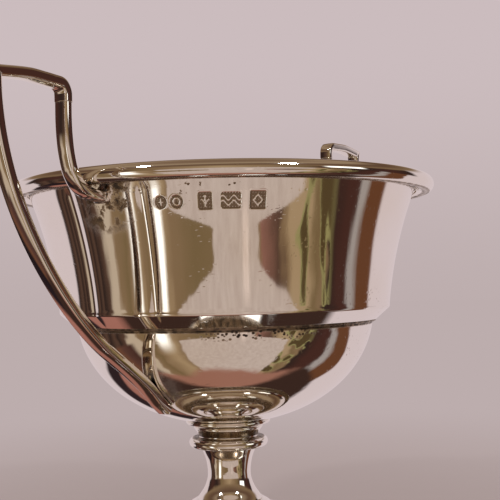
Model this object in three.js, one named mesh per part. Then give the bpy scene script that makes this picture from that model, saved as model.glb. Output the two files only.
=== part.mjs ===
// Two-handled silver sugar bowl on a round stepped foot. Millimetres, +Z up.
// The foot stands on z = 0, the bowl's axis is the Z axis and the two handles lie along X.
import * as THREE from 'three';

// Soldered seams: neighbouring pieces keep this distance.
const SOLDER_GAP = 0.3;

// Mouth: a thick wire around the top of the wall, with a lip that covers the wall's edge.
const RIM_R = 47;
const RIM_WIRE_R = 1.75;
const RIM_LIP_REACH = 1.2;
const RIM_LIP_T = 0.5;
const RIM_DROP = 0.3;

// Bowl: sheet thickness, lower cup and flaring upper wall.
const WALL_T = 0.9;
const LOWER_BOWL_R = 33.1;
const LOWER_BOWL_DEPTH = 21.9;
const LOWER_BOWL_RISE = 3.8;
const LOWER_BOWL_FULLNESS = 2.1;
const SLEEVE_H = 1.7;
const UNDERTURN_OUT = 3.3;
const UNDERTURN_H = 3.6;
const WAIST_EDGE = 0.7;
const UPPER_WALL_H = 26.1;
const FLARE_STRAIGHTNESS = 0.4;

// Creases: a pair beside each handle, pressed into the upper wall.
const CREASE_ANGLE = THREE.MathUtils.degToRad(12);
const CREASE_SPREAD = THREE.MathUtils.degToRad(2.8);
const CREASE_DEPTH = 0.55;
const CREASE_FADE_H = 3;

// Collar plate and stem under the bowl.
const COLLAR_R = 9.3;
const COLLAR_T = 0.7;
const STEM_H = 15.7;
const STEM_TOP_R = 7.6;
const STEM_NECK_R = 6.7;
const STEM_RING_R = 8.8;
const STEM_RING_H = 2.2;
const STEM_RING_DROP = 1.9;
const STEM_RING_EDGE_IN = 0.33;
const STEM_RING_EDGE_UP = 0.77;
const STEM_WAIST_R = 4.8;
const STEM_WAIST_SHARE = 0.45;
const STEM_HOLLOW = 0.3;
const STEM_FOOT_R = 7;
const STEM_FOOT_H = 0.5;

// Foot: a hollow spun dome with two steps, on a base wire.
const FOOT_SHEET_T = 1;
const FOOT_TOP_R = 8.2;
const FOOT_DOME_H = 10;
const FOOT_SHOULDER_R = 13.2;
const FOOT_SHOULDER_DROP = 2.6;
const FOOT_STEP_H = 0.9;
const FOOT_STEP_W = 0.6;
const FOOT_CONE_HOLLOW = 0.4;
const FOOT_CONE_SHARE = 0.62;
const FOOT_SIDE_DRAW = 0.7;
const FOOT_BOWL_R = 24.6;
const FOOT_FLANGE_H = 0.9;
const FOOT_FLANGE_FILLET = 0.5;
const FOOT_WIRE_R = 28.2;
const FOOT_WIRE_W = 2.8;
const FOOT_WIRE_H = 1.7;
const FOOT_WIRE_EDGE = 0.4;

// Handles: flat strap, bent and mitred.
const STRAP_W = 3.2;
const STRAP_T = 1.9;
const STRAP_EDGE = 0.35;
const HANDLE_RISE = 16.2;
const BAR_SAG = 0.6;
const RISER_OUT = 4.6;
const RISER_JOINT_DROP = 3.4;
const RISER_BEND_R = 3.4;
const RISER_LEAN = 0.2;
const RISER_TUCK_IN = 1.5;
const RISER_TUCK_UP = 0.8;
const RISER_RIM_GAP = 0.45;
const RISER_WRAP_START = -22;
const RISER_WRAP_END = -88;
const RISER_SEAT_GAP = 0.5;
const RISER_SEAT_DROP = 3.6;
const BAR_BEND_R = 2.1;
const HANDLE_OUT = 21.7;
const STRAP_DROP = 25;
const STRAP_SWELL = 0.3;
const ELBOW_OUT = 13;
const ELBOW_UP = 9.2;
const ELBOW_ANGLE = THREE.MathUtils.degToRad(33);
const ELBOW_RUN_OUT = 10;
const ELBOW_RUN_IN = 5;
const LANDING_RUN = 4;
const LANDING_START_DROP = 12.2;
const LANDING_END_DROP = 16.8;

// Facet counts around the axis.
const BODY_SEGMENTS = 60;
const BOWL_SEGMENTS = 48;
const STEM_SEGMENTS = 36;

// Heights that follow from the sizes above.
const FOOT_BASE_Z = FOOT_WIRE_H + SOLDER_GAP;
const FOOT_TOP_Z = FOOT_BASE_Z + FOOT_DOME_H;
const STEM_BASE_Z = FOOT_TOP_Z + SOLDER_GAP;
const STEM_TOP_Z = STEM_BASE_Z + STEM_H;
const COLLAR_BASE_Z = STEM_TOP_Z + SOLDER_GAP;
const BOWL_BASE_Z = COLLAR_BASE_Z + COLLAR_T + SOLDER_GAP;
const SEAM_Z = BOWL_BASE_Z + LOWER_BOWL_DEPTH;
const WAIST_Z = SEAM_Z + SOLDER_GAP + UNDERTURN_H;
const WALL_TOP_Z = WAIST_Z + UPPER_WALL_H;
const RIM_Z = WALL_TOP_Z - RIM_DROP;
const BAR_Z = RIM_Z + HANDLE_RISE;

// Radii that follow from the sizes above.
const SEAM_HOLE_R = LOWER_BOWL_R + SOLDER_GAP;
const WAIST_R = SEAM_HOLE_R + UNDERTURN_OUT;
const RIM_CENTRE_R = RIM_R - RIM_WIRE_R;
const WALL_TOP_R = RIM_R - 2 * RIM_WIRE_R - SOLDER_GAP;
const RISER_R = RIM_R + RISER_OUT;
const CORNER_R = RIM_R + HANDLE_OUT;

const silver = (name, shade) => new THREE.MeshStandardMaterial({
  name,
  color: new THREE.Color(shade, shade * 0.985, shade * 0.95),
  roughness: 0.12,
  metalness: 1,
});

const point = (x, y) => new THREE.Vector2(x, y);

// Outside radius of the lower cup at a height above its lowest point, and the height at a radius.
const cupHalfHeight = LOWER_BOWL_DEPTH + LOWER_BOWL_RISE;

function cupRadius(heightAboveBase, inset) {
  const below = (cupHalfHeight - heightAboveBase) / (cupHalfHeight - inset);
  const share = 1 - Math.pow(Math.max(below, 0), LOWER_BOWL_FULLNESS);
  return (LOWER_BOWL_R - inset) * Math.pow(Math.max(share, 0), 1 / LOWER_BOWL_FULLNESS);
}

function cupHeight(radius) {
  const share = 1 - Math.pow(radius / LOWER_BOWL_R, LOWER_BOWL_FULLNESS);
  return cupHalfHeight * (1 - Math.pow(share, 1 / LOWER_BOWL_FULLNESS));
}

// Outside radius of the upper wall at a share t of its height.
function wallRadius(t) {
  return WAIST_R + (WALL_TOP_R - WAIST_R) * (FLARE_STRAIGHTNESS * t + (1 - FLARE_STRAIGHTNESS) * t * t);
}

function wallRadiusAt(z) {
  return wallRadius((z - WAIST_Z) / UPPER_WALL_H);
}

// Points of an arc about a centre, both ends included.
function arc(centre, radius, fromDeg, toDeg, steps) {
  const points = [];
  for (let i = 0; i <= steps; i += 1) {
    const angle = THREE.MathUtils.degToRad(THREE.MathUtils.lerp(fromDeg, toDeg, i / steps));
    points.push(point(centre.x + radius * Math.cos(angle), centre.y + radius * Math.sin(angle)));
  }
  return points;
}

// A solid of revolution about Z. The profile runs up the outside, in radius and height.
function turned(profile, segments, closed) {
  const points = closed ? [...profile, profile[0].clone()] : profile;
  const geometry = new THREE.LatheGeometry(points, segments);
  geometry.rotateX(Math.PI / 2);
  return geometry;
}

function named(name, geometry, shade) {
  const mesh = new THREE.Mesh(geometry, silver(name, shade));
  mesh.name = name;
  return mesh;
}

// Under-turn of the upper wall: a cone from the seam's hole out to the rounded edge at the waist.
function underturn(inset, steps) {
  const slope = (UNDERTURN_H - WAIST_EDGE) / UNDERTURN_OUT;
  const hole = point(SEAM_HOLE_R, SEAM_Z + SOLDER_GAP + inset * Math.hypot(1, slope));
  const waistR = WAIST_R - inset;
  const corner = point(waistR, hole.y + (waistR - hole.x) * slope);
  const start = corner.clone().lerp(hole, WAIST_EDGE / corner.distanceTo(hole));
  const edge = new THREE.QuadraticBezierCurve(start, corner, point(waistR, WAIST_Z));
  return [hole, ...edge.getPoints(steps)];
}

// How far a crease presses the wall inward at an azimuth and a height.
function creaseInset(azimuth, z) {
  const fadeTop = THREE.MathUtils.clamp((WALL_TOP_Z - z) / CREASE_FADE_H, 0, 1);
  const fadeBottom = THREE.MathUtils.clamp((z - SEAM_Z - SOLDER_GAP) / UNDERTURN_H, 0, 1);
  let inset = 0;
  for (const handleAzimuth of [0, Math.PI]) {
    for (const side of [-1, 1]) {
      const away = Math.abs(Math.sin((azimuth - handleAzimuth - side * CREASE_ANGLE) / 2)) * 2;
      inset += CREASE_DEPTH * Math.exp(-away / CREASE_SPREAD);
    }
  }
  return inset * fadeTop * fadeBottom;
}

function pressCreases(geometry) {
  const position = geometry.getAttribute('position');
  for (let i = 0; i < position.count; i += 1) {
    const x = position.getX(i);
    const y = position.getY(i);
    const radius = Math.hypot(x, y);
    const pressed = (radius - creaseInset(Math.atan2(y, x), position.getZ(i))) / radius;
    position.setX(i, x * pressed);
    position.setY(i, y * pressed);
  }
  return geometry;
}

function upperBody() {
  const wallSteps = 6;
  const edgeSteps = 3;
  const outside = underturn(0, edgeSteps);
  const inside = underturn(WALL_T, edgeSteps);
  const wall = [];
  for (let i = 1; i <= wallSteps; i += 1) {
    const t = i / wallSteps;
    wall.push(point(wallRadius(t), WAIST_Z + UPPER_WALL_H * t));
  }
  const lining = wall.map((p) => point(p.x - WALL_T, p.y)).reverse();
  const profile = [...outside, ...wall, ...lining, ...inside.reverse()];
  return named('upper_body', pressCreases(turned(profile, BODY_SEGMENTS, true)), 0.86);
}

function lowerBowl() {
  const steps = 11;
  const top = SEAM_Z + SLEEVE_H;
  const outside = [];
  const inside = [];
  for (let i = 0; i <= steps; i += 1) {
    // Equal turns of angle put the points closer together where the cup curves most.
    const rise = 1 - Math.cos((Math.PI / 2) * (i / steps));
    const z = (top - BOWL_BASE_Z) * rise;
    outside.push(point(cupRadius(z, 0), BOWL_BASE_Z + z));
    const lined = WALL_T + (top - BOWL_BASE_Z - WALL_T) * rise;
    inside.push(point(cupRadius(lined, WALL_T), BOWL_BASE_Z + lined));
  }
  outside[0].x = 0;
  inside[0].x = 0;
  return named('lower_bowl', turned([...outside, ...inside.reverse()], BOWL_SEGMENTS, false), 0.84);
}

function rimWire() {
  const centre = point(RIM_CENTRE_R, RIM_Z);
  const wire = arc(centre, RIM_WIRE_R, -180, 100, 9);
  const lipR = WALL_TOP_R - RIM_LIP_REACH + SOLDER_GAP;
  const lipZ = WALL_TOP_Z + SOLDER_GAP;
  const seatR = RIM_CENTRE_R - RIM_WIRE_R;
  const lip = [
    point(lipR + RIM_LIP_T, lipZ + 2 * RIM_LIP_T),
    point(lipR, lipZ + RIM_LIP_T),
    point(lipR, lipZ),
    point(seatR, lipZ),
  ];
  return named('rim_wire', turned([...wire, ...lip], BODY_SEGMENTS, true), 0.9);
}

function stemCollar() {
  const edge = COLLAR_T / 2;
  const topAt = (r) => BOWL_BASE_Z - SOLDER_GAP + cupHeight(r);
  const flat = COLLAR_R - edge;
  const profile = [
    point(0, COLLAR_BASE_Z),
    point(flat / 2, topAt(flat / 2) - COLLAR_T),
    point(flat, topAt(flat) - COLLAR_T),
    point(COLLAR_R, topAt(flat) - edge),
    point(flat, topAt(flat)),
    point(flat / 2, topAt(flat / 2)),
    point(0, topAt(0)),
  ];
  return named('stem_collar', turned(profile, STEM_SEGMENTS, false), 0.88);
}

function stem() {
  const ringTop = STEM_TOP_Z - STEM_RING_DROP;
  const ringMiddle = ringTop - STEM_RING_H / 2;
  const ringBase = ringTop - STEM_RING_H;
  const ringFoot = STEM_NECK_R - (STEM_RING_R - STEM_NECK_R) / 4;
  const waistZ = STEM_BASE_Z + (ringBase - STEM_BASE_Z) * STEM_WAIST_SHARE;
  const shaft = new THREE.CatmullRomCurve3([
    new THREE.Vector3(STEM_FOOT_R, STEM_BASE_Z + STEM_FOOT_H, 0),
    new THREE.Vector3((STEM_FOOT_R + STEM_WAIST_R) / 2 - STEM_HOLLOW, (STEM_BASE_Z + waistZ) / 2, 0),
    new THREE.Vector3(STEM_WAIST_R, waistZ, 0),
    new THREE.Vector3(ringFoot, ringBase, 0),
  ]).getPoints(7).map((p) => point(p.x, p.y));
  const profile = [
    point(0, STEM_BASE_Z),
    point(STEM_FOOT_R, STEM_BASE_Z),
    ...shaft,
    point(STEM_RING_R - STEM_RING_EDGE_IN, ringMiddle - STEM_RING_EDGE_UP),
    point(STEM_RING_R, ringMiddle),
    point(STEM_RING_R - STEM_RING_EDGE_IN, ringMiddle + STEM_RING_EDGE_UP),
    point(STEM_NECK_R, ringTop),
    point(STEM_TOP_R, STEM_TOP_Z + cupHeight(STEM_TOP_R)),
    point(0, STEM_TOP_Z),
  ];
  return named('stem', turned(profile, STEM_SEGMENTS, false), 0.86);
}

// Outside of the foot from its flange up to its flat top, dropped and drawn in by the inset.
function footSide(inset) {
  const shoulderZ = FOOT_TOP_Z - FOOT_SHOULDER_DROP;
  const domeTop = point(FOOT_SHOULDER_R + FOOT_STEP_W, shoulderZ - FOOT_STEP_H);
  const domeFoot = point(FOOT_BOWL_R, FOOT_BASE_Z + FOOT_FLANGE_H + FOOT_STEP_H);
  const side = [];
  const domeSteps = 4;
  for (let i = 0; i <= domeSteps; i += 1) {
    const angle = (Math.PI / 2) * (i / domeSteps);
    side.push(point(
      domeTop.x + (domeFoot.x - domeTop.x) * Math.cos(angle),
      domeFoot.y + (domeTop.y - domeFoot.y) * Math.sin(angle),
    ));
  }
  side.push(point(FOOT_SHOULDER_R, shoulderZ));
  side.push(point(
    (FOOT_SHOULDER_R + FOOT_TOP_R) / 2 - FOOT_CONE_HOLLOW,
    FOOT_TOP_Z - FOOT_SHOULDER_DROP * FOOT_CONE_SHARE,
  ));
  side.push(point(FOOT_TOP_R, FOOT_TOP_Z));
  return side.map((p) => point(p.x - inset * FOOT_SIDE_DRAW, p.y - inset));
}

function foot() {
  const flangeR = FOOT_WIRE_R - FOOT_WIRE_EDGE;
  const flangeTop = FOOT_BASE_Z + FOOT_FLANGE_H;
  const outside = footSide(0);
  const inside = footSide(FOOT_SHEET_T).reverse();
  const profile = [
    point(0, FOOT_TOP_Z - FOOT_SHEET_T),
    ...inside,
    point(inside[inside.length - 1].x, FOOT_BASE_Z),
    point(flangeR, FOOT_BASE_Z),
    point(flangeR, flangeTop),
    point(FOOT_BOWL_R + FOOT_FLANGE_FILLET, flangeTop),
    ...outside,
    point(0, FOOT_TOP_Z),
  ];
  return named('foot', turned(profile, BOWL_SEGMENTS, false), 0.85);
}

function footWire() {
  const inner = FOOT_WIRE_R - FOOT_WIRE_W;
  const profile = [
    point(inner, 0),
    point(FOOT_WIRE_R - FOOT_WIRE_EDGE, 0),
    point(FOOT_WIRE_R, FOOT_WIRE_EDGE),
    point(FOOT_WIRE_R, FOOT_WIRE_H - FOOT_WIRE_EDGE),
    point(FOOT_WIRE_R - FOOT_WIRE_EDGE, FOOT_WIRE_H),
    point(inner, FOOT_WIRE_H),
  ];
  return named('foot_wire', turned(profile, BOWL_SEGMENTS, true), 0.87);
}

// Outline of a strap of even thickness along a path in the handle's plane. Each end is cut along
// a given direction, or square where there is none.
function strapOutline(path, startCut, endCut) {
  const half = STRAP_T / 2;
  const left = [];
  const right = [];
  for (let i = 0; i < path.length; i += 1) {
    const before = path[Math.max(i - 1, 0)];
    const after = path[Math.min(i + 1, path.length - 1)];
    const along = after.clone().sub(before).normalize();
    const across = point(-along.y, along.x);
    const cut = (i === 0 && startCut) || (i === path.length - 1 && endCut) || across;
    const slide = cut.dot(along) / cut.dot(across);
    left.push(path[i].clone().addScaledVector(across, half).addScaledVector(along, half * slide));
    right.push(path[i].clone().addScaledVector(across, -half).addScaledVector(along, -half * slide));
  }
  return [...right, ...left.reverse()];
}

// A strap stands on its edge: its outline lies in the plane y = 0 and its width runs along Y.
function strapGeometry(outline) {
  const geometry = new THREE.ExtrudeGeometry(new THREE.Shape(outline), {
    depth: STRAP_W - 2 * STRAP_EDGE,
    steps: 1,
    bevelEnabled: true,
    bevelThickness: STRAP_EDGE,
    bevelSize: STRAP_EDGE,
    bevelOffset: -STRAP_EDGE,
    bevelSegments: 1,
  });
  geometry.translate(0, 0, -(STRAP_W - 2 * STRAP_EDGE) / 2);
  geometry.rotateX(Math.PI / 2);
  return geometry;
}

const RISER_TOP_Z = BAR_Z - RISER_JOINT_DROP;
const corner = point(CORNER_R, BAR_Z - BAR_SAG);

function riserGeometry() {
  const rimCentre = point(RIM_CENTRE_R, RIM_Z);
  const wrapR = RIM_WIRE_R + STRAP_T / 2 + RISER_RIM_GAP;
  const wrap = arc(rimCentre, wrapR, RISER_WRAP_START, RISER_WRAP_END, 3);
  const seatZ = RIM_Z - RISER_SEAT_DROP;
  const seat = point(wallRadiusAt(seatZ) + RISER_SEAT_GAP, seatZ);
  const through = [
    point(RISER_R, RISER_TOP_Z - SOLDER_GAP / 2),
    point(RISER_R, RISER_TOP_Z - RISER_BEND_R),
    point(RISER_R - RISER_LEAN, (RISER_TOP_Z + RIM_Z) / 2),
    point(RISER_R - RISER_TUCK_IN, RIM_Z + RIM_WIRE_R + RISER_TUCK_UP),
    ...wrap,
    seat,
  ].map((p) => new THREE.Vector3(p.x, p.y, 0));
  const path = new THREE.CatmullRomCurve3(through, false, 'centripetal').getPoints(20);
  const wallSlope = point(wallRadiusAt(seatZ + 1) - wallRadiusAt(seatZ - 1), 2).normalize();
  return strapGeometry(strapOutline(path.map((p) => point(p.x, p.y)), point(1, 0), wallSlope));
}

// Directions of the bar and of the outer strap where they meet, and the mitre line between them.
const barBend = point(RISER_R + BAR_BEND_R, BAR_Z);
const barAlong = corner.clone().sub(point((barBend.x + corner.x) / 2, BAR_Z + BAR_SAG / 3)).normalize();
const strapAlong = point(STRAP_SWELL, -STRAP_DROP).normalize();
const mitre = barAlong.clone().sub(strapAlong).normalize();

// The corner, moved back along a strap so that half a seam's gap is left up to the mitre.
function mitreEnd(along) {
  const facing = Math.abs(mitre.x * along.y - mitre.y * along.x);
  return corner.clone().addScaledVector(along, -SOLDER_GAP / 2 / facing);
}

function barGeometry() {
  const bend = arc(point(RISER_R + BAR_BEND_R, BAR_Z - BAR_BEND_R), BAR_BEND_R, 180, 90, 6);
  const foot = point(RISER_R, RISER_TOP_Z + SOLDER_GAP / 2);
  const middle = point((barBend.x + corner.x) / 2, BAR_Z + BAR_SAG / 3);
  const quarter = point(barBend.x * 0.75 + corner.x * 0.25, BAR_Z + BAR_SAG / 4);
  const path = [foot, ...bend, quarter, middle, mitreEnd(barAlong)];
  return strapGeometry(strapOutline(path, point(1, 0), mitre));
}

function outerStrapGeometry() {
  // Where the strap lies on the lower cup it follows the cup's outside at a seam's distance.
  const landing = [];
  const landingSteps = 4;
  const step = 0.2;
  const slopeAt = (height) => point(
    cupRadius(height - step, 0) - cupRadius(height + step, 0),
    -2 * step,
  ).normalize();
  for (let i = 0; i <= landingSteps; i += 1) {
    const drop = THREE.MathUtils.lerp(LANDING_START_DROP, LANDING_END_DROP, i / landingSteps);
    const height = LOWER_BOWL_DEPTH - drop;
    const slope = slopeAt(height);
    const outward = point(-slope.y, slope.x);
    const lift = SOLDER_GAP + STRAP_T / 2;
    landing.push(point(cupRadius(height, 0), BOWL_BASE_Z + height).addScaledVector(outward, lift));
  }
  // The free part sweeps down to an elbow, and bends there towards the landing.
  const elbow = landing[0].clone().add(point(ELBOW_OUT, ELBOW_UP));
  const elbowAlong = point(Math.cos(ELBOW_ANGLE), Math.sin(ELBOW_ANGLE));
  const sweep = new THREE.CubicBezierCurve(
    mitreEnd(strapAlong.clone().negate()),
    point(CORNER_R + STRAP_SWELL, corner.y - STRAP_DROP),
    elbow.clone().addScaledVector(elbowAlong, ELBOW_RUN_OUT),
    elbow,
  );
  const bend = new THREE.CubicBezierCurve(
    elbow,
    elbow.clone().addScaledVector(elbowAlong, -ELBOW_RUN_IN),
    landing[0].clone().addScaledVector(slopeAt(LOWER_BOWL_DEPTH - LANDING_START_DROP), -LANDING_RUN),
    landing[0],
  );
  const path = [...sweep.getPoints(15), ...bend.getPoints(5).slice(1), ...landing.slice(1)];
  return strapGeometry(strapOutline(path, mitre, null));
}

const bowl = new THREE.Group();
bowl.add(upperBody(), lowerBowl(), rimWire(), stemCollar(), stem(), foot(), footWire());

for (const [side, turn] of [['right', 0], ['left', Math.PI]]) {
  const handle = new THREE.Group();
  handle.rotation.z = turn;
  handle.add(named(`${side}_riser`, riserGeometry(), 0.83));
  handle.add(named(`${side}_bar`, barGeometry(), 0.85));
  handle.add(named(`${side}_strap`, outerStrapGeometry(), 0.82));
  bowl.add(handle);
}

export default bowl;
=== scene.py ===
"""Silver sugar bowl on a stepped foot: spun, bent, stamped and soldered silver pieces.

Sizes are in millimetres and are turned into metres where a mesh is made.
"""
import math

import bmesh
import bpy
from mathutils import Matrix, Vector, geometry, noise


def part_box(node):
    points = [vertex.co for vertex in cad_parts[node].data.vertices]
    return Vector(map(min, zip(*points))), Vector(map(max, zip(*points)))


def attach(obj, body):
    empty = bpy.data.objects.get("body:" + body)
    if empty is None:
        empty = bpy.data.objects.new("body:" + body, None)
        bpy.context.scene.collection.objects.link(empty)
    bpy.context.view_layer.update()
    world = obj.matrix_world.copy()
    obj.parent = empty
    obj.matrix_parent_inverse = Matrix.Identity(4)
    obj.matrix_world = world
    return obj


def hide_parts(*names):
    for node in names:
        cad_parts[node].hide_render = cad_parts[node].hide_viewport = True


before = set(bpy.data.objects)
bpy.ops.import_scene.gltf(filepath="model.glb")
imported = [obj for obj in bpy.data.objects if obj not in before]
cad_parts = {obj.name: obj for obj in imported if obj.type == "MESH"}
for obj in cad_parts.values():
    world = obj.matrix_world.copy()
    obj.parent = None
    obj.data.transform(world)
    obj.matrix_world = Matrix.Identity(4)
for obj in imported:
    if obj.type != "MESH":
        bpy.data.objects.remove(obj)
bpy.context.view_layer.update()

MM = 0.001


def in_mm(node):
    """Lowest and highest corner of a frame node, in millimetres."""
    low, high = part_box(node)
    return low / MM, high / MM


# ---------------------------------------------------------------- sizes
WALL_LOW, WALL_HIGH = in_mm("upper_body")
CUP_LOW, CUP_HIGH = in_mm("lower_bowl")
RIM_LOW, RIM_HIGH = in_mm("rim_wire")
STEM_LOW, STEM_HIGH = in_mm("stem")
COLLAR_HIGH = in_mm("stem_collar")[1]
FOOT_LOW, FOOT_HIGH = in_mm("foot")
WIRE_HIGH = in_mm("foot_wire")[1]
BAR_LOW, BAR_HIGH = in_mm("right_bar")

WALL_T = 0.9
HOLE_R = 33.4
UNDERTURN_OUT = 3.3
UNDERTURN_H = 3.6
WAIST_EDGE = 0.7
WAIST_R = HOLE_R + UNDERTURN_OUT
WAIST_Z = WALL_LOW.z + UNDERTURN_H
WALL_TOP_R = WALL_HIGH.y
FLARE_STRAIGHTNESS = 0.4
CREASE_ANGLE = math.radians(12)
CREASE_SPREAD = math.radians(2.8)
CREASE_DEPTH = 0.55
CREASE_FADE_H = 3.0

CUP_R = 33.1
CUP_FULLNESS = 2.1
CUP_HALF_H = 25.7
CUP_SLEEVE_H = 1.7

COLLAR_T = 0.7
STEM_SHOULDER_Z = 28.0
STEM_RING_DROP = 1.9
STEM_RING_H = 2.2
STEM_WAIST_SHARE = 0.45

RIM_WIRE_R = 1.75
RIM_CENTRE = (RIM_HIGH.x - RIM_WIRE_R, RIM_LOW.z + RIM_WIRE_R)

STRAP_W = 3.2
STRAP_T = 1.9
STRAP_EDGE = 0.42
STRAP_CROWN = 0.06
RISER_EDGE = 0.62
RISER_CROWN = 0.10
PAD_SHIFT = (-0.35 * MM, 0.0, 0.30 * MM)
RISER_X = BAR_LOW.x + STRAP_T / 2
BAR_BEND_R = 2.1
BAR_JOINT_Z = BAR_LOW.z - 0.05
CORNER = (68.7, BAR_HIGH.z - 1.75)
MITRE_SPARE = 2.4
ELBOW = Vector((13.0, 9.2))
ELBOW_ANGLE = math.radians(33)
STRAP_DROP = 25.0
LANDING_START = 12.2
LANDING_LENGTH = 3.4
LANDING_STEPS = 8
LIFT = 0.12

SEGMENTS = 480
STEM_SEGMENTS = 240


# ---------------------------------------------------------------- outlines
def wall_radius(z):
    t = (z - WAIST_Z) / (WALL_HIGH.z - WAIST_Z)
    return WAIST_R + (WALL_TOP_R - WAIST_R) * (
        FLARE_STRAIGHTNESS * t + (1 - FLARE_STRAIGHTNESS) * t * t
    )


def underturn(inset):
    """The under-turn of the wall: a cone from its hole out to the rounded edge at the waist."""
    slope = (UNDERTURN_H - WAIST_EDGE) / UNDERTURN_OUT
    hole_z = WALL_LOW.z + inset * math.hypot(1, slope)
    waist = WAIST_R - inset
    corner_z = hole_z + (waist - HOLE_R) * slope
    cone = [
        (HOLE_R + (waist - HOLE_R) * i / 8, hole_z + (corner_z - hole_z) * i / 8) for i in range(7)
    ]
    held = [(r, z, 0.0) for r, z in cone]
    return eased([*held, (waist, corner_z, WAIST_EDGE), (waist, WAIST_Z, 0.0)], 7)


def cup_radius(height, inset=0.0):
    below = (CUP_HALF_H - height) / (CUP_HALF_H - inset)
    share = 1 - max(below, 0.0) ** CUP_FULLNESS
    return (CUP_R - inset) * max(share, 0.0) ** (1 / CUP_FULLNESS)


def cup_height(radius):
    share = 1 - (radius / CUP_R) ** CUP_FULLNESS
    return CUP_HALF_H * (1 - share ** (1 / CUP_FULLNESS))


def arc(centre, radius, start, end, steps):
    points = []
    for i in range(steps + 1):
        angle = math.radians(start + (end - start) * i / steps)
        points.append((
            centre[0] + radius * math.cos(angle),
            centre[1] + radius * math.sin(angle),
        ))
    return points


def eased(corners, steps=5):
    """A path through corners given as (x, y, radius), each rounded and held beside its bend."""
    path = []
    last = len(corners) - 1
    for i, (x, y, radius) in enumerate(corners):
        here = Vector((x, y))
        if radius == 0 or i in (0, last):
            path.append((x, y))
            continue
        back = Vector(corners[i - 1][:2]) - here
        on = Vector(corners[i + 1][:2]) - here
        reach = min(radius, back.length * 0.45, on.length * 0.45)
        start, end = here + back.normalized() * reach, here + on.normalized() * reach
        hold = reach * 0.2
        path.append(tuple(start + back.normalized() * hold))
        handles = start.lerp(here, 0.6), end.lerp(here, 0.6)
        for p in geometry.interpolate_bezier(start, *handles, end, steps + 1):
            path.append((p[0], p[1]))
        path.append(tuple(end + on.normalized() * hold))
    return path


def flowing(points, steps):
    """A smooth path through points, with even steps between each pair."""
    ends = [points[0], *points, points[-1]]
    path = []
    for a, b, c, d in zip(ends, ends[1:], ends[2:], ends[3:]):
        a, b, c, d = (Vector(p) for p in (a, b, c, d))
        span = (c - b).length
        lead = (c - a).normalized() * span / 3
        tail = (d - b).normalized() * span / 3
        for p in geometry.interpolate_bezier(b, b + lead, c - tail, c, steps + 1)[:-1]:
            path.append((p[0], p[1]))
    path.append(tuple(points[-1]))
    return path


# ---------------------------------------------------------------- mesh making
def finished(bm, name, nodes, silver):
    """Writes a bmesh to an object that rides on the frame and stands for its nodes."""
    mesh = bpy.data.meshes.new(name)
    for face in bm.faces:
        face.smooth = True
    bm.to_mesh(mesh)
    bm.free()
    piece = bpy.data.objects.new(name, mesh)
    bpy.context.scene.collection.objects.link(piece)
    mesh.materials.append(silver)
    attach(piece, "root")
    if nodes:
        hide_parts(*nodes)
    return piece


def spun(profile, segments, closed=False):
    """A bmesh turned round Z from a profile of (radius, height)."""
    bm = bmesh.new()
    ring = [bm.verts.new((r * MM, 0.0, z * MM)) for r, z in profile]
    pairs = list(zip(ring, ring[1:]))
    if closed:
        pairs.append((ring[-1], ring[0]))
    edges = [bm.edges.new(pair) for pair in pairs]
    bmesh.ops.spin(
        bm, geom=ring + edges, cent=(0, 0, 0), axis=(0, 0, 1),
        angle=math.tau, steps=segments, use_merge=True,
    )
    bmesh.ops.remove_doubles(bm, verts=bm.verts, dist=2e-6)
    bmesh.ops.recalc_face_normals(bm, faces=bm.faces)
    return bm


def swept(path, width, thickness, edge, crown=0.0):
    """A bmesh of a strap drawn along a path in the plane y = 0, with rounded edges."""
    half_w, half_t = width / 2, thickness / 2
    # A held ring close to each end keeps the shading straight up to it.
    first, last = Vector(path[0]), Vector(path[-1])
    path = [
        first, first + (Vector(path[1]) - first).normalized() * 0.08, *path[1:-1],
        last + (Vector(path[-2]) - last).normalized() * 0.08, last,
    ]
    section = []
    for cx, cy, start in (
        (half_t - edge, half_w - edge, 0), (edge - half_t, half_w - edge, 90),
        (edge - half_t, edge - half_w, 180), (half_t - edge, edge - half_w, 270),
    ):
        section += arc((cx, cy), edge, start, start + 90, 4)
    section = [
        (x + math.copysign(crown, x) * max(1 - (y / half_w) ** 2, 0.0), y)
        for x, y in section
    ]
    # A held middle line on each broad face lets the face swell a little.
    section = section[:5] + [(0.0, half_w)] + section[5:10] + [(-half_t - crown, 0.0)] + \
        section[10:15] + [(0.0, -half_w)] + section[15:] + [(half_t + crown, 0.0)]

    def stand(i):
        here = Vector(path[i])
        before, after = Vector(path[max(i - 1, 0)]), Vector(path[min(i + 1, len(path) - 1)])
        along = (after - before).normalized()
        across = Vector((-along.y, along.x))
        turn = Matrix((
            (across.x, 0.0, along.x, here.x * MM),
            (0.0, 1.0, 0.0, 0.0),
            (across.y, 0.0, along.y, here.y * MM),
            (0.0, 0.0, 0.0, 1.0),
        ))
        return turn

    bm = bmesh.new()
    ring = [bm.verts.new((x * MM, y * MM, 0.0)) for x, y in section]
    edges = [bm.edges.new(pair) for pair in zip(ring, ring[1:] + ring[:1])]
    bmesh.ops.transform(bm, matrix=stand(0), verts=ring)
    bmesh.ops.contextual_create(bm, geom=edges)
    was = stand(0)
    for i in range(1, len(path)):
        grown = bmesh.ops.extrude_edge_only(bm, edges=edges)["geom"]
        ring = [g for g in grown if isinstance(g, bmesh.types.BMVert)]
        edges = [g for g in grown if isinstance(g, bmesh.types.BMEdge)]
        now = stand(i)
        bmesh.ops.transform(bm, matrix=now @ was.inverted(), verts=ring)
        was = now
    bmesh.ops.contextual_create(bm, geom=edges)
    bmesh.ops.remove_doubles(bm, verts=bm.verts, dist=2e-6)
    bmesh.ops.recalc_face_normals(bm, faces=bm.faces)
    return bm


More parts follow.
